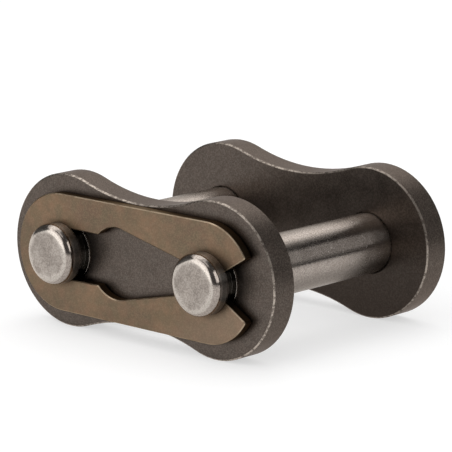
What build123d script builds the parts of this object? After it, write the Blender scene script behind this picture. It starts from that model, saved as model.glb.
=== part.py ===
"""Roller-chain connecting link with a spring clip.

Two pins are fixed in the pin plate. The cover plate slides on to their free
ends, and a flat spring clip snaps into a groove in each pin and keeps it there.

X runs along the pitch from the clip's closed end to its open end, Y runs along
the pins from the clip to the pin plate, and Z is up. The origin is half way
between the pins and half way between the plates. All lengths are millimetres.
"""

import math
import os

from build123d import *

# The pitch of the chain and the two plates. A plate is a round lobe on each
# pin centre, joined by a hollow waist above and below.
pitch = 19.05
plate_gap = 18.80
plate_thickness = 2.77
lobe_radius = 7.43
waist_height = 11.68
plate_edge_break = 0.15
bore_edge_break = 0.12

# The pins, from the clip end to the riveted end
pin_diameter = 5.86
cover_bore_clearance = 0.02
head_length = 1.80
head_round = 0.80
groove_width = 1.05
groove_diameter = 4.76
land_length = 0.10
rivet_spread = 0.22
rivet_height = 0.50
rivet_edge_break = 0.25
rivet_dimple_diameter = 1.90
rivet_dimple_depth = 0.22

# The spring clip, a flat blank whose slot grips the groove of each pin. Its
# wide hole passes over a pin's head before the clip is slid home.
clip_thickness = 1.00
clip_width = 11.40
clip_seat_clearance = 0.06
head_pass_clearance = 0.52
head_pass_offset = 7.50
taper_end_width = 1.80
mouth_angle = 62.0
slot_corner_round = 0.35
tip_round = 0.20
clip_edge_break = 0.10

# How near two lengths must be to count as the same when an edge or a corner is
# looked for
MATCH = 1e-4

half_pitch = pitch / 2
half_gap = plate_gap / 2
pin_radius = pin_diameter / 2
groove_radius = groove_diameter / 2

# Stations along the pins. The groove is set out from the cover plate's outer
# face, and the clip stands in the middle of the groove.
cover_face_y = -half_gap - plate_thickness
groove_inner_y = cover_face_y - land_length
groove_outer_y = groove_inner_y - groove_width
head_face_y = groove_outer_y - head_length
clip_face_y = (groove_inner_y + groove_outer_y - clip_thickness) / 2
pin_plate_face_y = half_gap + plate_thickness
rivet_end_y = pin_plate_face_y + rivet_height


def extrude_along_pins(outline, near_y, far_y):
    """A solid with this outline between two stations along the pins."""
    return extrude(Plane.XZ.offset(-far_y) * outline, far_y - near_y)


def edges_at(solid, face_y):
    """The edges that lie in the plane at one station along the pins."""
    return solid.edges().filter_by_position(Axis.Y, face_y, face_y)


def corners_at_distance(face, centre_x, distance):
    """The corners of a flat outline that lie on a circle about a point of the pitch line."""
    return face.vertices().filter_by(
        lambda corner: abs(math.hypot(corner.X - centre_x, corner.Y) - distance) < MATCH
    )


def plate_outline():
    """A link plate's face: each lobe runs into the waists without a corner."""
    waist_half = waist_height / 2
    waist_gain = half_pitch**2 + waist_half**2 - lobe_radius**2
    waist_radius = waist_gain / (2 * (lobe_radius - waist_half))
    waist_centre = waist_half + waist_radius
    tangent_angle = math.atan2(waist_centre, half_pitch)
    tangent_x = half_pitch - lobe_radius * math.cos(tangent_angle)
    tangent_y = lobe_radius * math.sin(tangent_angle)
    reach = half_pitch + lobe_radius
    open_lobe = ThreePointArc((tangent_x, -tangent_y), (reach, 0), (tangent_x, tangent_y))
    top_waist = ThreePointArc((tangent_x, tangent_y), (0, waist_half), (-tangent_x, tangent_y))
    closed_lobe = ThreePointArc((-tangent_x, tangent_y), (-reach, 0), (-tangent_x, -tangent_y))
    bottom_waist = ThreePointArc((-tangent_x, -tangent_y), (0, -waist_half), (tangent_x, -tangent_y))
    return make_face([open_lobe, top_waist, closed_lobe, bottom_waist])


def make_plate(near_y, bore_radius):
    """A blanked plate with its two pin bores, between near_y and one thickness beyond."""
    far_y = near_y + plate_thickness
    plate = extrude_along_pins(plate_outline(), near_y, far_y)
    plate = chamfer(edges_at(plate, near_y) + edges_at(plate, far_y), plate_edge_break)
    for pin_x in (-half_pitch, half_pitch):
        bore = Location((pin_x, 0)) * Circle(bore_radius)
        plate = plate - extrude_along_pins(bore, near_y, far_y)
    bore_edges = plate.edges().filter_by(GeomType.CIRCLE).filter_by(
        lambda edge: abs(edge.radius - bore_radius) < MATCH
    )
    return chamfer(bore_edges, bore_edge_break)


def make_pin(pin_x):
    """A turned pin: rounded head, clip groove, plain body and riveted end."""
    rivet_radius = pin_radius + rivet_spread
    dimple_radius = rivet_dimple_diameter / 2
    half_section = make_face(
        Polyline(
            (0, head_face_y),
            (pin_radius, head_face_y),
            (pin_radius, groove_outer_y),
            (groove_radius, groove_outer_y),
            (groove_radius, groove_inner_y),
            (pin_radius, groove_inner_y),
            (pin_radius, pin_plate_face_y),
            (rivet_radius, pin_plate_face_y),
            (rivet_radius, rivet_end_y),
            (dimple_radius, rivet_end_y),
            (0, rivet_end_y - rivet_dimple_depth),
            close=True,
        )
    )
    corners = half_section.vertices()
    head_corner = corners.sort_by_distance((pin_radius, head_face_y, 0))[0]
    half_section = fillet(head_corner, head_round)
    corners = half_section.vertices()
    rivet_corner = corners.sort_by_distance((rivet_radius, rivet_end_y, 0))[0]
    half_section = chamfer(rivet_corner, rivet_edge_break)
    return Location((pin_x, 0, 0)) * revolve(half_section, Axis.Y)


def clip_outline():
    """The spring clip's face: a rounded blank less its slot and its open mouth."""
    seat_radius = groove_radius + clip_seat_clearance
    pass_radius = pin_radius + head_pass_clearance
    pass_x = -half_pitch + head_pass_offset
    at_open_pin = Location((half_pitch, 0))

    blank = SlotCenterToCenter(pitch, clip_width)
    closed_slot = SlotCenterToCenter(head_pass_offset, 2 * seat_radius)
    closed_slot = Location(((pass_x - half_pitch) / 2, 0)) * closed_slot
    pass_hole = Location((pass_x, 0)) * Circle(pass_radius)
    taper_end = at_open_pin * Circle(taper_end_width / 2)
    taper = make_hull(pass_hole.edges() + taper_end.edges())
    seat = at_open_pin * Circle(seat_radius)
    flare_x = clip_width * math.cos(math.radians(mouth_angle / 2))
    flare_y = clip_width * math.sin(math.radians(mouth_angle / 2))
    mouth = at_open_pin * make_face(Polyline((0, 0), (flare_x, flare_y), (flare_x, -flare_y), close=True))
    outline = (blank - closed_slot - taper - seat - mouth).face()

    shoulders = corners_at_distance(outline, pass_x, pass_radius)
    shoulders = shoulders.filter_by(lambda corner: abs(abs(corner.Y) - seat_radius) < MATCH)
    seat_corners = corners_at_distance(outline, half_pitch, seat_radius)
    outline = fillet(shoulders + seat_corners, slot_corner_round)
    tips = corners_at_distance(outline, half_pitch, clip_width / 2).sort_by(Axis.X)[-2:]
    return fillet(tips, tip_round)


def make_clip():
    """The spring clip, blanked from flat strip, with its sharp edges broken."""
    far_y = clip_face_y + clip_thickness
    clip = extrude_along_pins(clip_outline(), clip_face_y, far_y)
    return chamfer(edges_at(clip, clip_face_y) + edges_at(clip, far_y), clip_edge_break)


def main():
    parts = {
        "pin_plate": make_plate(half_gap, pin_radius),
        "closed_end_pin": make_pin(-half_pitch),
        "open_end_pin": make_pin(half_pitch),
        "cover_plate": make_plate(cover_face_y, pin_radius + cover_bore_clearance),
        "spring_clip": make_clip(),
    }
    os.makedirs("parts", exist_ok=True)
    for name, shape in parts.items():
        export_step(shape, f"parts/{name}.step")


main()
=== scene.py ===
# %% [markdown]
# # Chain connecting link: finish, light and camera
# A connecting link closes a loop of roller chain. Two pins are riveted in one
# plate, a second plate slides on to their free ends, and a flat spring clip
# snaps into a groove in each pin. The solid model already has every piece at
# its real size, and nothing here moves or reshapes one. This notebook gives
# each piece the steel finish that its making leaves, and then stands the link
# in a small white studio.

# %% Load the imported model
import math

import bpy
from mathutils import Matrix, Vector


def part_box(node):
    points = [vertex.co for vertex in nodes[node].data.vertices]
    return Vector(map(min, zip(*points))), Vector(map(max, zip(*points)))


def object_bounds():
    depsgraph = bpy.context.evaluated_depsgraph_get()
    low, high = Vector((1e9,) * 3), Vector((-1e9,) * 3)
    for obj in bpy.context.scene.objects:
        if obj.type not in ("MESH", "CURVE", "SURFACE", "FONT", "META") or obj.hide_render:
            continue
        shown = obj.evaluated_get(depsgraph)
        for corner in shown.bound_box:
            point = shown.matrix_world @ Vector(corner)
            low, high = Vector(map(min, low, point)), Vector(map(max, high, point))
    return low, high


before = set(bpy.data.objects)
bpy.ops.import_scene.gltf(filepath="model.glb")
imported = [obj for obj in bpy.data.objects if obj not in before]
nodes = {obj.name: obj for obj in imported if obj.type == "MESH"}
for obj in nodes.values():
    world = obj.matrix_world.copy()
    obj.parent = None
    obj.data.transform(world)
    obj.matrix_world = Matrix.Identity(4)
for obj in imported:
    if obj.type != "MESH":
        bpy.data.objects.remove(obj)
cad_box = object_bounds()
print("pieces:", sorted(nodes))

# %% [markdown]
# ## Where things are
# Blender works in metres here, so one millimetre gets a name. The pins run along
# Y, from their heads and the clip at the low end to their riveted ends at the
# high end, and X runs from one pin to the other. The places below are read from
# the pieces themselves, so whatever is worked out from them follows the model.

# %% Name the places on the link
MM = 0.001
floor_z = Vector(cad_box[0]).z
head_face_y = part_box("open_end_pin")[0].y
cover_face_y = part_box("cover_plate")[0].y
pin_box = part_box("open_end_pin")
half_pitch = (pin_box[0].x + pin_box[1].x) / 2
print("floor at", round(floor_z / MM, 3), "mm, pins at", round(half_pitch / MM, 3), "mm from the middle")

# %% [markdown]
# ## A short way to build node trees
# A material is a graph: nodes make numbers and colours, and links carry them.
# Writing each node in four lines would hide the idea, so one helper adds a
# node, sets its options and fills or links its inputs in a single call. An input
# is named by its label, or by its number after an underscore where a label would
# be unclear.

# %% Node helper
def add_node(tree, kind, options=None, **inputs):
    """Add one node. An input is a plain value, or the output socket it is fed from."""
    node = tree.nodes.new(kind)
    for option, value in (options or {}).items():
        setattr(node, option, value)
    for label, value in inputs.items():
        key = int(label[1:]) if label[0] == "_" else label.replace("_", " ")
        socket = node.inputs[key]
        if isinstance(value, bpy.types.NodeSocket):
            tree.links.new(value, socket)
        else:
            socket.default_value = value
    return node


def maths(tree, operation, *values):
    """One arithmetic node, and its result."""
    inputs = {f"_{index}": value for index, value in enumerate(values)}
    return add_node(tree, "ShaderNodeMath", {"operation": operation}, **inputs).outputs[0]


print("node helper ready")

# %% [markdown]
# ## Working with masks
# A mask is a number for each point of a surface, 0 where an effect is absent and
# 1 where it is full. Four small steps are enough to draw with masks: weaken one,
# take the strongest of several, stretch a measured range on to 0 and 1, and use
# one to mix two colours.

# %% Mask helpers
def part_of(tree, mask, share):
    """A mask at a share of its strength. The share may be a mask itself."""
    return maths(tree, "MULTIPLY", mask, share)


def strongest(tree, mask, *others):
    """The highest of several masks at each point."""
    for other in others:
        mask = maths(tree, "MAXIMUM", mask, other)
    return mask


def remap(tree, value, low, high, new_low=0.0, new_high=1.0):
    """Stretch a range of numbers smoothly on to another one."""
    options = {"interpolation_type": "SMOOTHSTEP"}
    ends = {"_1": low, "_2": high, "_3": new_low, "_4": new_high}
    return add_node(tree, "ShaderNodeMapRange", options, _0=value, **ends).outputs[0]


def blend_colour(tree, factor, first, second):
    """Mix two colours, from the first at 0 to the second at 1."""
    return add_node(tree, "ShaderNodeMix", {"data_type": "RGBA"}, _0=factor, _6=first, _7=second).outputs[2]


print("mask helpers ready")

# %% [markdown]
# ## Shared effect: mottle
# Oxide, oil and heat never colour steel evenly. Mottle is soft cloudy noise
# that every finish on this link uses at its own scale, so it is built once as a
# node group. It reads Object coordinates, which are the part's own metres, so a
# scale of 1000 means patches of about one millimetre. Noise keeps close to its
# middle value, so it is stretched before it is cut off at 0 and 1.

# %% Node group: mottle
noise_middle = 0.5
mottle_stretch = 4.0


def new_group(name, inputs, outputs):
    """An empty node group with named float inputs and outputs."""
    group = bpy.data.node_groups.new(name, "ShaderNodeTree")
    for label, default in inputs:
        socket = group.interface.new_socket(label, in_out="INPUT", socket_type="NodeSocketFloat")
        socket.default_value = default
    for label in outputs:
        group.interface.new_socket(label, in_out="OUTPUT", socket_type="NodeSocketFloat")
    return group, group.nodes.new("NodeGroupInput"), group.nodes.new("NodeGroupOutput")


def add_noise(tree, scale, detail, roughness):
    """Cloudy noise on the part's own coordinates, as one number per point."""
    place = add_node(tree, "ShaderNodeTexCoord").outputs["Object"]
    cloud = {"Vector": place, "Scale": scale, "Detail": detail, "Roughness": roughness}
    return add_node(tree, "ShaderNodeTexNoise", **cloud).outputs["Fac"]


def make_mottle():
    """Soft patches, with their scale and contrast left open."""
    group, start, end = new_group("Mottle", [("Patch Scale", 600.0), ("Contrast", 0.5)], ["Mask"])
    cloud = add_noise(group, start.outputs["Patch Scale"], detail=4.0, roughness=0.6)
    centred = maths(group, "SUBTRACT", cloud, noise_middle)
    spread = maths(group, "MULTIPLY", centred, start.outputs["Contrast"])
    raised = maths(group, "MULTIPLY_ADD", spread, mottle_stretch, noise_middle)
    clamped = add_node(group, "ShaderNodeClamp", _0=raised).outputs[0]
    group.links.new(clamped, end.inputs["Mask"])
    return group


mottle_group = make_mottle()
print("group", mottle_group.name, "sockets", len(mottle_group.interface.items_tree))

# %% [markdown]
# ## Shared effect: edge wear
# Blanked plates and the clip are tumbled before they are assembled. The stones
# rub the oxide off the sharp edges, so each edge shows a thin, wandering line
# of bare steel. The Bevel node looks a short way round the point and averages
# the directions that the surface faces. All these pieces are flat blanks cut
# square to the Y axis, so that average lies half way between Y and the rim only
# on an edge. The product 4 a (1 - a), with a the squared Y part, is then 1 on
# the edge and 0 on the faces and the rim. One noise makes the line's border
# wander, and a second one thins the line in places.

# %% Node group: edge wear
samples_around = 8
worn_from, worn_full = 0.72, 0.98
thin_below, whole_above, thinnest = 0.39, 0.55, 0.20


def make_edge_wear():
    """A line of bare steel along the edges of a flat blank."""
    inputs = [("Reach", 0.00015), ("Wander", 0.5), ("Wander Scale", 2500.0), ("Break Scale", 900.0)]
    group, start, end = new_group("Edge Wear", inputs, ["Mask"])
    around = add_node(group, "ShaderNodeBevel", {"samples": samples_around}, Radius=start.outputs["Reach"])
    along = add_node(group, "ShaderNodeSeparateXYZ", _0=around.outputs[0]).outputs["Y"]
    facing = maths(group, "MULTIPLY", along, along)
    leaning = maths(group, "SUBTRACT", 1.0, facing)
    edge = maths(group, "MULTIPLY", maths(group, "MULTIPLY", facing, leaning), 4.0)

    ripple = add_noise(group, start.outputs["Wander Scale"], detail=3.0, roughness=0.7)
    centred = maths(group, "SUBTRACT", ripple, noise_middle)
    shift = maths(group, "MULTIPLY", centred, start.outputs["Wander"])
    worn = remap(group, maths(group, "ADD", edge, shift), worn_from, worn_full)
    gaps = add_noise(group, start.outputs["Break Scale"], detail=3.0, roughness=0.6)
    kept = remap(group, gaps, thin_below, whole_above, thinnest, 1.0)
    group.links.new(part_of(group, worn, kept), end.inputs["Mask"])
    return group


edge_wear_group = make_edge_wear()
print("group", edge_wear_group.name, "sockets", len(edge_wear_group.interface.items_tree))

# %% [markdown]
# ## Shared effect: grain
# Close up, every surface here has a fine tooth: scale on the plates, rolled
# strip on the clip, cutting and tumbling on the pins. One group makes a fine
# and a coarser noise and adds them into a height for a Bump node. It also gives
# the fine noise alone, from which the colours take their specks.

# %% Node group: grain
def make_grain():
    """A fine tooth, as a height and as specks."""
    inputs = [("Fine Scale", 9000.0), ("Coarse Scale", 2500.0), ("Coarse Share", 0.4)]
    group, start, end = new_group("Grain", inputs, ["Height", "Speck"])
    fine = add_noise(group, start.outputs["Fine Scale"], detail=2.0, roughness=0.6)
    coarse = add_noise(group, start.outputs["Coarse Scale"], detail=2.0, roughness=0.5)
    weighted = part_of(group, coarse, start.outputs["Coarse Share"])
    group.links.new(maths(group, "ADD", fine, weighted), end.inputs["Height"])
    group.links.new(fine, end.inputs["Speck"])
    return group


grain_group = make_grain()
print("group", grain_group.name, "sockets", len(grain_group.interface.items_tree))

# %% [markdown]
# ## Shared effect: painted shade in the corners
# Shade falls beside the clip, round the pins and in the grooves, and this mask
# paints it into the colour. Ambient Occlusion measures how much of the space
# round a point is closed in by the pieces near it. A flat open face gives 1 and
# a right-angled corner about one half, and the mask turns that into a painted
# shade which fades away from the corner.

# %% Node group: corner shade
shade_full_below = 0.3


def make_corner_shade():
    """A painted shade in the corners, full in the closest ones."""
    group, start, end = new_group("Corner Shade", [("Reach", 0.001), ("Clear Above", 0.9)], ["Mask"])
    looks_round = {"samples": samples_around}
    openness = add_node(group, "ShaderNodeAmbientOcclusion", looks_round, Distance=start.outputs["Reach"])
    # Painted shade: darker where more of the space round a point is closed in.
    shade_film = remap(group, openness.outputs["AO"], shade_full_below, start.outputs["Clear Above"], 1.0, 0.0)
    group.links.new(shade_film, end.inputs["Mask"])
    return group


corner_shade_group = make_corner_shade()
print("group", corner_shade_group.name, "sockets", len(corner_shade_group.interface.items_tree))

# %% [markdown]
# ## Starting a finish
# Each finish is a material of its own with one Principled shader. All five
# pieces are steel, so Metallic is 1 everywhere and is set on the shader itself.
# So is the edge tint, the colour that the metal takes where it is seen at a
# slant. The last helper gives a surface its relief: a Bevel node softens the
# look of the edges a little, and a Bump node lays the grain over it.

# %% Finish helpers
def new_finish(name, edge_tint):
    """A fresh steel material with a Principled shader, and its tree."""
    material = bpy.data.materials.new(name)
    material.use_nodes = True
    shader = material.node_tree.nodes["Principled BSDF"]
    shader.inputs["Metallic"].default_value = 1.0
    shader.inputs["Specular Tint"].default_value = edge_tint
    return material, material.node_tree, shader


def use_group(tree, group, **values):
    """Place a node group in a material with this finish's own values."""
    return add_node(tree, "ShaderNodeGroup", {"node_tree": group}, **values)


def add_relief(tree, shader, height, strength, depth, edge_round):
    """Round the edges in the shading, and press the grain into the surface."""
    edges = add_node(tree, "ShaderNodeBevel", {"samples": samples_around}, Radius=edge_round)
    grain = {"Strength": strength, "Distance": depth, "Height": height, "Normal": edges.outputs[0]}
    bump = add_node(tree, "ShaderNodeBump", **grain)
    tree.links.new(bump.outputs[0], shader.inputs["Normal"])


print("finish helpers ready")

# %% [markdown]
# ## Telling one surface from another
# A blank has two faces square to the Y axis and a rim that was cut along it. The
# Normal output says which way a surface faces, so its Y part is 1 or -1 on the
# faces and 0 on the rim. The Object output says where a point is. Nearly every
# mask below comes from these two, so no mark has to be painted by hand.

# %% Place helpers
rim_below, face_above = 0.2, 0.6
darkest_noise, lightest_noise = 0.30, 0.70


def surface_parts(tree, output):
    """The X, Y and Z parts of a point's place (Object) or of the way it faces (Normal)."""
    source = add_node(tree, "ShaderNodeTexCoord").outputs[output]
    return add_node(tree, "ShaderNodeSeparateXYZ", _0=source).outputs


def rim_mask(tree, facing):
    """1 on the cut rim of a blank and 0 on its two faces."""
    return remap(tree, maths(tree, "ABSOLUTE", facing["Y"]), rim_below, face_above, 1.0, 0.0)


def speck_number(tree, tooth, low=darkest_noise, high=lightest_noise):
    """The grain's fine noise, stretched to run from -1 for dark to 1 for light."""
    return remap(tree, tooth.outputs["Speck"], low, high, -1.0, 1.0)


def add_specks(tree, colour, speck, light, light_share, dark, dark_share):
    """Scatter specks over a colour, light ones where speck is above 0 and dark ones below."""
    above = maths(tree, "MAXIMUM", speck, 0.0)
    below = maths(tree, "MAXIMUM", maths(tree, "MULTIPLY", speck, -1.0), 0.0)
    colour = blend_colour(tree, part_of(tree, above, light_share), colour, light)
    return blend_colour(tree, part_of(tree, below, dark_share), colour, dark)


print("place helpers ready")

# %% [markdown]
# ## Plate finish: dark oxide
# The plates are blanked from carbon steel, hardened, and left with a dark brown
# oxide that is slightly glossy. Steel under a thin oxide still reflects as a
# metal, so a dark colour on full Metallic gives it better than a dark paint
# would. The oxide has soft patches, a faint olive cast and fine specks, and the
# specks are stronger on the rim, where the punch has torn the steel.

# %% Plate oxide
oxide_deep = (0.088, 0.070, 0.059, 1)
oxide_pale = (0.118, 0.094, 0.080, 1)
oxide_olive = (0.094, 0.086, 0.074, 1)
oxide_light_speck = (0.26, 0.22, 0.19, 1)
oxide_dark_speck = (0.040, 0.032, 0.027, 1)
olive_share = 0.35
light_specks, dark_specks = 0.22, 0.35
extra_specks_on_rim = 0.6


def plate_oxide(tree, clouds, tooth, rim):
    """The colour of the oxide before any wear or dirt."""
    hue = use_group(tree, mottle_group, Patch_Scale=1500.0, Contrast=0.6)
    oxide = blend_colour(tree, clouds.outputs["Mask"], oxide_deep, oxide_pale)
    oxide = blend_colour(tree, part_of(tree, hue.outputs["Mask"], olive_share), oxide, oxide_olive)
    stronger_on_rim = maths(tree, "MULTIPLY_ADD", rim, extra_specks_on_rim, 1.0)
    speck = part_of(tree, speck_number(tree, tooth), stronger_on_rim)
    return add_specks(tree, oxide, speck, oxide_light_speck, light_specks, oxide_dark_speck, dark_specks)


print("oxide from", oxide_deep[:3], "to", oxide_pale[:3])

# %% [markdown]
# ## Where the plates are darker
# The rim of each blank is slightly darker oxide. The rest is painted shade: the
# corners beside the clip and the pins get the shade that falls there, and the
# inner faces, which look at each other across the pins, get a painted shade that
# is darkest near the floor. A face looks inwards where its Y part points the
# other way from its own place, which the sign of Y tells.

# %% Plate darkening: darker rim and painted shade
oxide_dark_rim_and_shade = (0.034, 0.025, 0.020, 1)
rim_shelter = 0.16
plate_corner_shade = 0.76
inner_shade_low, inner_shade_high = 0.75, 0.15
inner_shade_low_z, inner_shade_high_z = -7.0 * MM, 2.0 * MM
looks_inwards, looks_outwards = -0.9, -0.5


def plate_dark_rim_and_shade(tree, facing, place, rim):
    """How much of the darker rim oxide and of the painted shade shows."""
    corner_shade = use_group(tree, corner_shade_group, Reach=0.8 * MM, Clear_Above=0.90)
    # Painted shade on the inner faces, darkest near the floor, and in the corners beside the clip and the
    # pins.
    outward = maths(tree, "MULTIPLY", facing["Y"], maths(tree, "SIGN", place["Y"]))
    inner_face = remap(tree, outward, looks_inwards, looks_outwards, 1.0, 0.0)
    by_height = remap(tree, place["Z"], inner_shade_low_z, inner_shade_high_z, inner_shade_low, inner_shade_high)
    inner = part_of(tree, inner_face, by_height)
    corners = part_of(tree, corner_shade.outputs["Mask"], plate_corner_shade)
    return strongest(tree, part_of(tree, rim, rim_shelter), inner, corners)


print("sheltered oxide", oxide_dark_rim_and_shade[:3])

# %% [markdown]
# ## The plates' bare edges
# The worn line on the plates is hair-thin and broken. Some stretches were rubbed
# less than others, which a slow mottle gives, and the far plate, which carries
# the pins, was rubbed less than the cover plate. Only the colour changes on the
# line: it is too thin for its gloss to be seen.

# %% Plate edges
plate_bare_steel = (0.50, 0.435, 0.375, 1)
less_rubbed = 0.75
far_plate_wear = 0.66
far_plate_y = 9.0 * MM


def plate_bare_edges(tree, place):
    """How much bare steel shows along the edges."""
    line = {"Reach": 0.08 * MM, "Wander": 1.25, "Wander_Scale": 8000.0, "Break_Scale": 3200.0}
    wear = use_group(tree, edge_wear_group, **line)
    stretches = use_group(tree, mottle_group, Patch_Scale=130.0, Contrast=1.0)
    rubbed = remap(tree, stretches.outputs["Mask"], 0.1, 0.8, less_rubbed, 1.0)
    bare = part_of(tree, wear.outputs["Mask"], rubbed)
    return part_of(tree, bare, remap(tree, place["Y"], 0.0, far_plate_y, 1.0, far_plate_wear))


print("far plate's wear is", far_plate_wear, "of the cover plate's")

# %% [markdown]
# ## Putting the plate finish together
# The colour is laid on in layers: oxide, then the darker rim and the painted
# shade, then the bare edges. The patches that change the colour also change the
# gloss a little, and the cut rim is rougher than the rolled faces.
# Both plates come from one punch, so they share one material.

# %% Plate material
plate_edge_tint = (0.97, 0.88, 0.82, 1)
plate_gloss, plate_dull = 0.32, 0.40
rim_extra_roughness = 0.08


def make_plate_finish():
    """Dark oxide with bare edges."""
    material, tree, shader = new_finish("plate_oxide_steel", plate_edge_tint)
    clouds = use_group(tree, mottle_group, Patch_Scale=420.0, Contrast=0.55)
    tooth = use_group(tree, grain_group, Fine_Scale=7500.0, Coarse_Scale=2600.0, Coarse_Share=0.5)
    facing = surface_parts(tree, "Normal")
    place = surface_parts(tree, "Object")
    rim = rim_mask(tree, facing)

    colour = plate_oxide(tree, clouds, tooth, rim)
    # Lay on the darker rim and the painted shade.
    colour = blend_colour(tree, plate_dark_rim_and_shade(tree, facing, place, rim), colour, oxide_dark_rim_and_shade)
    colour = blend_colour(tree, plate_bare_edges(tree, place), colour, plate_bare_steel)
    tree.links.new(colour, shader.inputs["Base Color"])

    rough = remap(tree, clouds.outputs["Mask"], 0.0, 1.0, plate_gloss, plate_dull)
    rough = maths(tree, "MULTIPLY_ADD", rim, rim_extra_roughness, rough)
    tree.links.new(rough, shader.inputs["Roughness"])
    add_relief(tree, shader, tooth.outputs["Height"], 0.35, depth=0.012 * MM, edge_round=0.07 * MM)
    return material


plate_finish = make_plate_finish()
for piece in ("pin_plate", "cover_plate"):
    nodes[piece].material_slots[0].material = plate_finish
print("plates:", plate_finish.name)

# %% [markdown]
# ## Clip finish: tempered strip
# The clip is stamped from thin spring strip and tempered, which turns it
# straw-bronze with faint warmer and greener patches. Two mottles at different
# scales give those, and the strip is paler towards the lower corner of its open
# end. Rolling closes the grain, so the strip has fewer dark pits than the plates
# and its specks are mostly light.

# %% Clip bronze
bronze_deep = (0.157, 0.107, 0.075, 1)
bronze_warm = (0.212, 0.137, 0.088, 1)
bronze_olive = (0.142, 0.118, 0.078, 1)
bronze_pale = (0.262, 0.190, 0.138, 1)
bronze_light_speck = (0.32, 0.24, 0.16, 1)
bronze_dark_speck = (0.085, 0.062, 0.040, 1)
bronze_olive_share = 0.60
bronze_light_specks, bronze_dark_specks = 0.24, 0.13
pale_share = 0.45
pale_slope = 0.5
pale_from, pale_full = 5.5 * MM, 10.5 * MM


def clip_bronze(tree, green, tooth):
    """The tempered colour before any wear or dirt."""
    warm = use_group(tree, mottle_group, Patch_Scale=260.0, Contrast=1.0)
    bronze = blend_colour(tree, warm.outputs["Mask"], bronze_deep, bronze_warm)
    olive = part_of(tree, green.outputs["Mask"], bronze_olive_share)
    bronze = blend_colour(tree, olive, bronze, bronze_olive)
    place = surface_parts(tree, "Object")
    towards_corner = maths(tree, "SUBTRACT", maths(tree, "MULTIPLY", place["X"], pale_slope), place["Z"])
    paler = part_of(tree, remap(tree, towards_corner, pale_from, pale_full), pale_share)
    bronze = blend_colour(tree, paler, bronze, bronze_pale)
    light, dark = (bronze_light_speck, bronze_light_specks), (bronze_dark_speck, bronze_dark_specks)
    return add_specks(tree, bronze, speck_number(tree, tooth), *light, *dark)


print("bronze from", bronze_deep[:3], "to", bronze_warm[:3])

# %% [markdown]
# ## Putting the clip finish together
# The cut rim of the clip, inside its slot as well, is painted nearly black, for
# its scale and oil and for the shade that falls on it, and that outlines the
# clip against its own bright face. Painted shade also darkens the corners. The
# line of bare steel along its edges is thinner and fainter than on the plates.

# %% Clip material
clip_edge_tint = (0.86, 0.72, 0.58, 1)
clip_scale_and_shade = (0.038, 0.027, 0.018, 1)
clip_bare_steel = (0.52, 0.42, 0.30, 1)
clip_gloss, clip_dull = 0.34, 0.42
clip_rim_scale_and_shade, clip_corner_shade = 0.92, 0.85
bare_share = 0.55


def make_clip_finish():
    """Tempered bronze with a dark rim."""
    material, tree, shader = new_finish("clip_tempered_steel", clip_edge_tint)
    green = use_group(tree, mottle_group, Patch_Scale=950.0, Contrast=1.0)
    tooth = use_group(tree, grain_group, Fine_Scale=8000.0, Coarse_Scale=3000.0, Coarse_Share=0.4)
    line = {"Reach": 0.05 * MM, "Wander": 0.7, "Wander_Scale": 3500.0, "Break_Scale": 350.0}
    wear = use_group(tree, edge_wear_group, **line)
    corner_shade = use_group(tree, corner_shade_group, Reach=1.0 * MM, Clear_Above=0.95)
    rim = rim_mask(tree, surface_parts(tree, "Normal"))

    colour = clip_bronze(tree, green, tooth)
    # Painted shade in the corners; on the rim, painted shade together with scale and oil.
    corners = part_of(tree, corner_shade.outputs["Mask"], clip_corner_shade)
    sheltered = strongest(tree, part_of(tree, rim, clip_rim_scale_and_shade), corners)
    colour = blend_colour(tree, sheltered, colour, clip_scale_and_shade)
    colour = blend_colour(tree, part_of(tree, wear.outputs["Mask"], bare_share), colour, clip_bare_steel)
    tree.links.new(colour, shader.inputs["Base Color"])

    rough = remap(tree, green.outputs["Mask"], 0.0, 1.0, clip_gloss, clip_dull)
    tree.links.new(rough, shader.inputs["Roughness"])
    add_relief(tree, shader, tooth.outputs["Height"], 0.2, depth=0.010 * MM, edge_round=0.05 * MM)
    return material


clip_finish = make_clip_finish()
nodes["spring_clip"].material_slots[0].material = clip_finish
print("clip:", clip_finish.name)

# %% [markdown]
# ## Measuring a pin
# A pin is a turned and hardened rod, and its finish changes from the head to the
# riveted end. The sizes that the masks need are measured on its mesh, where each
# change of radius is a ring of points round the pin's axis: the widest ring of
# the head, the border of its flat face, and the two walls of the clip's groove.

# %% Measure a pin
HAIR = 0.001 * MM
head_points = [point.co for point in nodes["open_end_pin"].data.vertices if point.co.y < cover_face_y]


def from_axis(point):
    """A point's distance from the axis of the open-end pin."""
    return math.hypot(point.x - half_pitch, point.z)


pin_radius = max(from_axis(point) for point in head_points)
face_radius = max(from_axis(point) for point in head_points if point.y < head_face_y + HAIR)
groove_inner_y = max(point.y for point in head_points)
groove_outer_y = max(point.y for point in head_points if point.y < groove_inner_y - HAIR)
before_groove_y = groove_outer_y - 0.18 * MM
print("pin radius", round(pin_radius / MM, 3), "mm, face radius", round(face_radius / MM, 3), "mm")
print("groove from", round(groove_outer_y / MM, 3), "to", round(groove_inner_y / MM, 3), "mm")

# %% [markdown]
# ## The surfaces of a pin
# The side is ground between two wheels. The end face is cut across and stays
# matt, and tumbling polishes the crest between the face and the rounding, with
# a border that wanders as the scuffs do. The head's side is tumbled too, because
# it stands free of the plates. The far end is spun over when the pin is riveted,
# which leaves rings and takes the polish off its crest. How squarely a surface
# faces along Y, the distance from the pin's axis and the place along it tell all
# of these apart.

# %% Masks of a pin
cut_full, cut_gone = face_radius - 0.15 * MM, face_radius + 0.10 * MM
border_wander = 0.30 * MM
matt_full, matt_gone = face_radius - 0.08 * MM, face_radius + 0.28 * MM
rivet_crest_loss = 0.75


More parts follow.
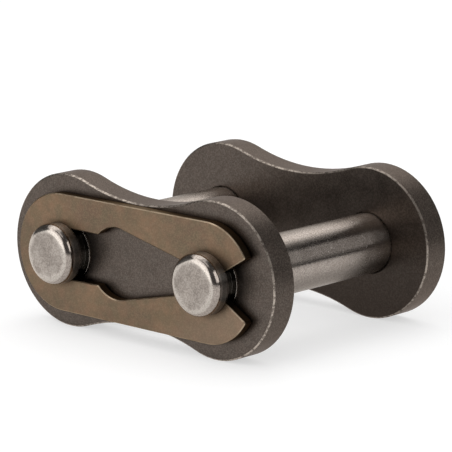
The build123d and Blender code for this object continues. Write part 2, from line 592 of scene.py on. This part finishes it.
def pin_place(tree):
    """The distance of a point from its pin's axis, its place along the pin and its height."""
    place = surface_parts(tree, "Object")
    sideways = maths(tree, "SUBTRACT", maths(tree, "ABSOLUTE", place["X"]), half_pitch)
    sideways_squared = maths(tree, "MULTIPLY", sideways, sideways)
    squares = maths(tree, "MULTIPLY_ADD", place["Z"], place["Z"], sideways_squared)
    return maths(tree, "SQRT", squares), place["Y"], place["Z"]


def pin_surfaces(tree, facing, radius, along, scuffs):
    """A mask for each surface of a pin that is finished in its own way."""
    squareness = maths(tree, "ABSOLUTE", facing["Y"])
    side = remap(tree, squareness, 0.0, 0.15, 1.0, 0.0)
    end_face = remap(tree, squareness, 0.93, 0.99)
    cut_face = part_of(tree, end_face, remap(tree, radius, cut_full, cut_gone, 1.0, 0.0))
    ragged = maths(tree, "MULTIPLY_ADD", scuffs, border_wander, radius)
    matt = part_of(tree, end_face, remap(tree, ragged, matt_full, matt_gone, 1.0, 0.0))
    riveted = part_of(tree, end_face, maths(tree, "GREATER_THAN", along, 0.0))
    crest = strongest(tree, maths(tree, "SUBTRACT", remap(tree, squareness, 0.78, 0.90), matt), 0.0)
    crest = part_of(tree, crest, maths(tree, "MULTIPLY_ADD", riveted, -rivet_crest_loss, 1.0))
    head_side = part_of(tree, side, maths(tree, "LESS_THAN", along, before_groove_y))
    body = part_of(tree, side, maths(tree, "GREATER_THAN", along, cover_face_y))
    ends = {"cut face": cut_face, "matt": matt, "crest": crest, "riveted": riveted}
    return {"side": side, "head side": head_side, "body": body, **ends}


print("the riveted end's crest keeps", 1.0 - rivet_crest_loss, "of its polish")

# %% [markdown]
# ## Steel on the pins
# Every surface is the same steel, brighter where it is polished: the tumbled
# head side a little and the crest most. The matt face is scuffed, paler where it
# was struck and darker between. Fine specks show the cut and the tumbling.

# %% Pin steel
steel_deep = (0.314, 0.268, 0.235, 1)
steel_pale = (0.360, 0.314, 0.281, 1)
steel_tumbled = (0.44, 0.40, 0.36, 1)
steel_crest = (0.500, 0.452, 0.405, 1)
steel_matt_deep = (0.290, 0.253, 0.224, 1)
steel_matt_pale = (0.430, 0.385, 0.346, 1)
steel_light_speck = (0.56, 0.51, 0.46, 1)
steel_pit = (0.12, 0.105, 0.092, 1)
tumbled_share = 0.35
matt_share = 0.85
speck_share, extra_specks_on_side = 0.32, 0.02


def pin_steel(tree, clouds, scuffs, tooth, on):
    """The colour of the steel before the dirt and the painted shade."""
    steel = blend_colour(tree, clouds.outputs["Mask"], steel_deep, steel_pale)
    steel = blend_colour(tree, part_of(tree, on["head side"], tumbled_share), steel, steel_tumbled)
    steel = blend_colour(tree, on["crest"], steel, steel_crest)
    scuffed = blend_colour(tree, scuffs, steel_matt_deep, steel_matt_pale)
    steel = blend_colour(tree, part_of(tree, on["matt"], matt_share), steel, scuffed)
    speck = speck_number(tree, tooth, low=0.32, high=0.68)
    share = maths(tree, "MULTIPLY_ADD", on["side"], extra_specks_on_side, speck_share)
    return add_specks(tree, steel, speck, steel_light_speck, share, steel_pit, share)


print("steel from", steel_deep[:3], "to", steel_pale[:3])

# %% [markdown]
# ## Oil and painted shade on the pins
# Painted shade darkens the rear of the head's side next to the clip, less
# towards the top, and the groove is painted dark with shade. Painted shade also
# sits in the corners and under the body, most of all near the plates. On the
# riveted end oil fills the dimple and marks the spun rings. Each place has its
# own mask, and a point shows the strongest of them.

# %% Painted shade on the head and under the body
oil_and_shade_colour = (0.050, 0.047, 0.042, 1)
head_shade_share, head_shade_on_top = 0.60, 0.35
head_shade_start_y, head_shade_full_y = head_face_y + 0.78 * MM, head_face_y + 1.15 * MM
groove_shade = 0.86
groove_full, groove_end = pin_radius - 0.10 * MM, pin_radius - 0.03 * MM
pin_corner_shade = 0.45
under_shade_middle, under_shade_near_plates = 0.30, 0.78
under_shade_thin_y, under_shade_thick_y = 5.0 * MM, 9.4 * MM


def head_shade(tree, radius, along, height):
    """Painted shade on the rear of the head's side and in the groove."""
    # Painted shade on the rear of the head's side, lighter towards the top.
    shade_film = remap(tree, along, head_shade_start_y, head_shade_full_y, 0.0, head_shade_share)
    shade_film = part_of(tree, shade_film, maths(tree, "LESS_THAN", along, groove_inner_y))
    shade_film = part_of(tree, shade_film, remap(tree, height, 0.5 * pin_radius, pin_radius, 1.0, head_shade_on_top))
    # Painted shade in the groove.
    groove = remap(tree, radius, groove_full, groove_end, groove_shade, 0.0)
    groove = part_of(tree, groove, maths(tree, "GREATER_THAN", along, before_groove_y))
    groove = part_of(tree, groove, maths(tree, "LESS_THAN", along, cover_face_y))
    return strongest(tree, shade_film, groove)


def under_body_shade(tree, facing, along, body):
    """Painted shade under the body between the plates."""
    # Painted shade on the underside, darkest near the plates.
    from_middle = maths(tree, "ABSOLUTE", along)
    near_plates = remap(tree, from_middle, under_shade_thin_y, under_shade_thick_y, under_shade_middle, under_shade_near_plates)
    underside = remap(tree, facing["Z"], -0.60, -0.05, 1.0, 0.0)
    return part_of(tree, body, part_of(tree, underside, near_plates))


print("oil_and_shade", oil_and_shade_colour[:3])

# %% [markdown]
# ## The riveted end
# Riveting spins a tool round the pin's end, so fine rings lie about its centre.
# A sine of the distance from the axis draws them, both as faint dark lines in
# the oil and as relief. The dimple in the middle is the dirtiest place.

# %% Oil on the riveted end
ring_spacing = 0.21 * MM
ring_contrast = 0.10
dimple_oil, end_oil = 0.62, 0.12
dimple_bottom, dimple_border = 0.15 * MM, 1.05 * MM


def spun_rings(tree, radius):
    """A number that swings between -1 and 1 from ring to ring."""
    return maths(tree, "SINE", maths(tree, "MULTIPLY", radius, 2.0 * math.pi / ring_spacing))


def rivet_oil(tree, radius, rings, riveted):
    """Dirt in the dimple and between the rings."""
    dimple = remap(tree, radius, dimple_bottom, dimple_border, dimple_oil, end_oil)
    return part_of(tree, riveted, maths(tree, "MULTIPLY_ADD", rings, ring_contrast, dimple))


print("rings", round(ring_spacing / MM, 2), "mm apart")

# %% [markdown]
# ## How a pin reflects
# Grinding wheels leave very fine rings round the side, which smear a reflection
# along the pin and leave it sharper round the pin. The shader does that with
# Anisotropic, and a Tangent node that runs round the Y axis tells it which way
# the rings go. The end face has the same rings about its centre, only coarser,
# and the crest between them is the smoothest surface of the link. The smear
# follows the cut alone, while the roughness also follows the scuffs.

# %% Gloss of a pin
pin_gloss, pin_dull = 0.14, 0.18
side_roughness, head_side_roughness = 0.10, 0.04
rivet_roughness, matt_roughness = 0.16, 0.33
side_smear, face_smear = 0.87, 0.45
quarter_turn = 0.25


def set_pin_gloss(tree, shader, clouds, on):
    """Roughness and smear for each surface of a pin."""
    rough = remap(tree, clouds.outputs["Mask"], 0.0, 1.0, pin_gloss, pin_dull)
    rough = maths(tree, "MULTIPLY_ADD", on["side"], side_roughness, rough)
    rivet_border = strongest(tree, maths(tree, "SUBTRACT", on["riveted"], on["matt"]), 0.0)
    rough = maths(tree, "MULTIPLY_ADD", rivet_border, rivet_roughness, rough)
    rough = maths(tree, "MULTIPLY_ADD", on["head side"], head_side_roughness, rough)
    rough = maths(tree, "MULTIPLY_ADD", on["matt"], matt_roughness, rough)
    tree.links.new(rough, shader.inputs["Roughness"])

    smear = strongest(tree, part_of(tree, on["side"], side_smear), part_of(tree, on["cut face"], face_smear))
    tree.links.new(smear, shader.inputs["Anisotropic"])
    round_axis = add_node(tree, "ShaderNodeTangent", {"direction_type": "RADIAL", "axis": "Y"})
    tree.links.new(round_axis.outputs[0], shader.inputs["Tangent"])
    shader.inputs["Anisotropic Rotation"].default_value = quarter_turn


print("roughness from", pin_gloss, "on the crest to", round(pin_dull + matt_roughness, 2), "on the matt face")

# %% [markdown]
# ## Putting the pin finish together
# Both pins are the same piece, so they share one material. The masks take X
# without its sign, so they find the axis of either pin. The side gets no bump,
# because its rings are far too fine to be seen as relief.

# %% Pin material
pin_edge_tint = (1.0, 0.95, 0.90, 1)
ring_relief = 0.25


def make_pin_finish():
    """Ground and tumbled steel, with dirt and painted shade."""
    material, tree, shader = new_finish("pin_ground_steel", pin_edge_tint)
    clouds = use_group(tree, mottle_group, Patch_Scale=900.0, Contrast=0.5)
    tooth = use_group(tree, grain_group, Fine_Scale=7500.0, Coarse_Scale=3000.0, Coarse_Share=0.8)
    corner_shade = use_group(tree, corner_shade_group, Reach=0.8 * MM, Clear_Above=0.8)
    facing = surface_parts(tree, "Normal")
    radius, along, height = pin_place(tree)
    scuffs = use_group(tree, mottle_group, Patch_Scale=620.0, Contrast=1.0).outputs["Mask"]
    on = pin_surfaces(tree, facing, radius, along, scuffs)
    rings = spun_rings(tree, radius)

    # Dirt on the riveted end, and painted shade on the head, in the groove, in the corners and under the
    # body.
    oil_and_shade = strongest(
        tree,
        head_shade(tree, radius, along, height),
        part_of(tree, corner_shade.outputs["Mask"], pin_corner_shade),
        under_body_shade(tree, facing, along, on["body"]),
        rivet_oil(tree, radius, rings, on["riveted"]),
    )
    steel = pin_steel(tree, clouds, scuffs, tooth, on)
    tree.links.new(blend_colour(tree, oil_and_shade, steel, oil_and_shade_colour), shader.inputs["Base Color"])
    set_pin_gloss(tree, shader, clouds, on)

    relief = part_of(tree, tooth.outputs["Height"], maths(tree, "SUBTRACT", 1.0, on["side"]))
    relief = maths(tree, "MULTIPLY_ADD", part_of(tree, rings, on["riveted"]), ring_relief, relief)
    add_relief(tree, shader, relief, 0.25, depth=0.010 * MM, edge_round=0.06 * MM)
    return material


pin_finish = make_pin_finish()
for piece in ("closed_end_pin", "open_end_pin"):
    nodes[piece].material_slots[0].material = pin_finish
print("pins:", pin_finish.name)

# %% [markdown]
# ## Camera
# The link is small, so a long lens a quarter of a metre away keeps its plates
# nearly parallel. The camera looks down slightly from the clip's side. Its
# place is worked out from two angles and a distance about the point at the
# centre of the picture, and a matrix sets its own right, up and back axes.

# %% Place the camera
view_azimuth = math.radians(43.24)
view_elevation = math.radians(12.15)
view_roll = math.radians(-0.30)
view_distance = 263.8 * MM
view_centre = Vector((0.45, -0.88, 1.99)) * MM
lens_length = 219.4


def make_camera():
    """A camera that looks at the view's centre from its azimuth and elevation."""
    ahead = Vector((
        -math.sin(view_azimuth) * math.cos(view_elevation),
        math.cos(view_azimuth) * math.cos(view_elevation),
        -math.sin(view_elevation),
    ))
    right = Vector((math.cos(view_azimuth), math.sin(view_azimuth), 0))
    up = right.cross(ahead)
    turned = Matrix((right, up, -ahead)).transposed() @ Matrix.Rotation(view_roll, 3, "Z")
    data = bpy.data.cameras.new("camera")
    data.lens = lens_length
    camera = bpy.data.objects.new("camera", data)
    camera.matrix_world = Matrix.Translation(view_centre - ahead * view_distance) @ turned.to_4x4()
    bpy.context.scene.collection.objects.link(camera)
    return camera


camera = make_camera()
bpy.context.scene.camera = camera
print("camera at", [round(c / MM, 1) for c in camera.matrix_world.translation], "mm")

# %% [markdown]
# ## Floor
# The link stands on a plain white floor. Paint alone would look grey in the
# picture, and more light would burn out the steel. Light Path tells a material
# what kind of ray has met it, so the floor gets a little glow of its own for
# rays from the camera and for reflections. The glow lifts it to white, and the
# light that falls on it still draws the soft shadow.

# %% Floor
floor_width = 3.0
floor_paint = (0.50, 0.50, 0.50, 1)
floor_glow = 0.57


def seen_rays(tree):
    """1 for rays from the camera, reflections and rays through glass, else 0."""
    path = add_node(tree, "ShaderNodeLightPath").outputs
    return strongest(tree, path["Is Camera Ray"], path["Is Glossy Ray"], path["Is Transmission Ray"])


def empty_material(name):
    """A material with an empty tree."""
    material = bpy.data.materials.new(name)
    material.use_nodes = True
    material.node_tree.nodes.clear()
    return material, material.node_tree


def make_floor():
    """A wide plane that the link stands on."""
    bpy.ops.object.select_all(action="DESELECT")
    bpy.ops.mesh.primitive_plane_add(size=floor_width, location=(0, 0, floor_z))
    floor = bpy.context.object
    floor.name = "floor"
    material, tree = empty_material("floor_white")
    paint = add_node(tree, "ShaderNodeBsdfDiffuse", Color=floor_paint)
    glow = add_node(tree, "ShaderNodeEmission", Strength=part_of(tree, seen_rays(tree), floor_glow))
    both = add_node(tree, "ShaderNodeAddShader", _0=paint.outputs[0], _1=glow.outputs[0])
    add_node(tree, "ShaderNodeOutputMaterial", Surface=both.outputs[0])
    floor.data.materials.append(material)
    return floor


floor = make_floor()
print("floor is", floor_width, "m wide")

# %% [markdown]
# ## White room
# The world stands for the walls and ceiling of a white room. It lights the
# scene at its fill strength, and rays from the camera and from the steel see it
# at full white, so the background is white and the steel has a white room to
# mirror.

# %% World
fill_strength = 0.75
white = (1, 1, 1, 1)


def make_world():
    """A white world that is a little weaker as a light than it looks."""
    world = bpy.data.worlds.new("white_room")
    world.use_nodes = True
    tree = world.node_tree
    tree.nodes.clear()
    lift = part_of(tree, seen_rays(tree), 1.0 - fill_strength)
    strength = maths(tree, "ADD", lift, fill_strength)
    back = add_node(tree, "ShaderNodeBackground", Color=white, Strength=strength)
    add_node(tree, "ShaderNodeOutputWorld", Surface=back.outputs[0])
    bpy.context.scene.world = world


make_world()
print("world fill", fill_strength)

# %% [markdown]
# ## Softboxes
# Bright steel is lit by what it mirrors, so a lamp is placed by where its
# reflection falls. A wide box in front of the clip lights the plates, the clip
# and the pin heads. A long box high over the closed end runs along the top rims,
# and a small one high behind the riveted ends reaches the far plate and the tops
# of the pins. All stand most of a metre away, which is far for so small a thing,
# so the light is even.

# %% Softboxes
def aim(place, target=Vector((0, 0, 0))):
    """The matrix that stands a lamp or card at a place, facing the target."""
    return Matrix.Translation(place) @ (target - place).to_track_quat("-Z", "Y").to_matrix().to_4x4()


def from_link(azimuth, elevation, distance):
    """A place seen from the link: azimuth from +Y towards +X, in degrees."""
    turn, rise = math.radians(azimuth), math.radians(elevation)
    level = math.cos(rise)
    return Vector((math.sin(turn) * level, math.cos(turn) * level, math.sin(rise))) * distance


def make_softbox(name, place, size, power):
    """An area lamp. Its place is azimuth, elevation and distance, its size width and height."""
    data = bpy.data.lights.new(name, "AREA")
    data.shape = "RECTANGLE"
    data.size, data.size_y = size
    data.energy = power
    lamp = bpy.data.objects.new(name, data)
    lamp.matrix_world = aim(from_link(*place))
    bpy.context.scene.collection.objects.link(lamp)
    return lamp


softboxes = [
    make_softbox("front_softbox", place=(-163, 23, 0.7), size=(0.71, 0.68), power=1.40),
    make_softbox("top_softbox", place=(-78, 66, 0.7), size=(1.15, 0.34), power=1.17),
    make_softbox("back_softbox", place=(-24, 54, 0.8), size=(0.52, 0.26), power=0.30),
]
print("softboxes:", [lamp.name for lamp in softboxes])

# %% [markdown]
# ## Flags
# In an all-white room steel looks like chalk. Flags are cards that only a
# mirror-like surface sees: they hide from the camera, throw no light on matt
# surfaces and cast no shadow. Dark ones off both ends, behind and overhead draw
# the dark bands that make a ground pin look like metal. Off the open end, a
# bright card in front of a dark one makes a window, whose reflection is the lit
# stripe on the rims there. A pale card stands low behind the closed end, a
# narrow dark one parts the front softbox from the top one, and a thin strip low
# down beside the link draws the dark line where floor and wall would meet.

# %% Flags
def make_flag(name, place, size, shade):
    """A card of one shade, from 0 for black to 1 for white, or more for a window."""
    bpy.ops.object.select_all(action="DESELECT")
    bpy.ops.mesh.primitive_plane_add(size=1)
    flag = bpy.context.object
    flag.name = name
    flag.data.transform(Matrix.Diagonal((*size, 1, 1)))
    flag.matrix_world = aim(from_link(*place))
    material, tree = empty_material(name)
    card = add_node(tree, "ShaderNodeEmission", Color=white, Strength=shade)
    add_node(tree, "ShaderNodeOutputMaterial", Surface=card.outputs[0])
    flag.data.materials.append(material)
    flag.visible_camera = False
    flag.visible_diffuse = False
    flag.visible_shadow = False
    return flag


flags = [
    make_flag("side_flag", place=(130, 28, 0.8), size=(0.98, 0.92), shade=0.12),
    make_flag("window_flag", place=(76, 32, 0.85), size=(0.80, 1.10), shade=0.10),
    make_flag("side_window", place=(80, 30, 0.7), size=(0.60, 0.46), shade=1.8),
    make_flag("back_flag", place=(28, 17, 0.8), size=(0.64, 0.46), shade=0.16),
    make_flag("back_upper_flag", place=(24, 40, 0.78), size=(0.36, 0.28), shade=0.03),
    make_flag("upper_flag", place=(68, 65, 0.75), size=(1.05, 0.36), shade=0.10),
    make_flag("horizon_flag", place=(40, -1.2, 0.12), size=(0.12, 0.016), shade=0.04),
    make_flag("left_flag", place=(-95, 23, 0.7), size=(0.98, 0.52), shade=0.10),
    make_flag("left_back_card", place=(-44, 13, 0.8), size=(0.62, 0.36), shade=0.72),
    make_flag("ceiling_flag", place=(80, 74, 0.9), size=(0.62, 0.40), shade=0.28),
    make_flag("gap_flag", place=(-168, 58, 0.72), size=(0.42, 0.10), shade=0.15),
]
print("flags:", [flag.name for flag in flags])

# %% [markdown]
# ## Plain colour
# The Standard view keeps colours as they are written, so that the finishes can
# be judged by their own numbers.

# %% Set the view
bpy.context.scene.view_settings.view_transform = "Standard"
print("view:", bpy.context.scene.view_settings.view_transform)

# %% Finish
print("scene built")
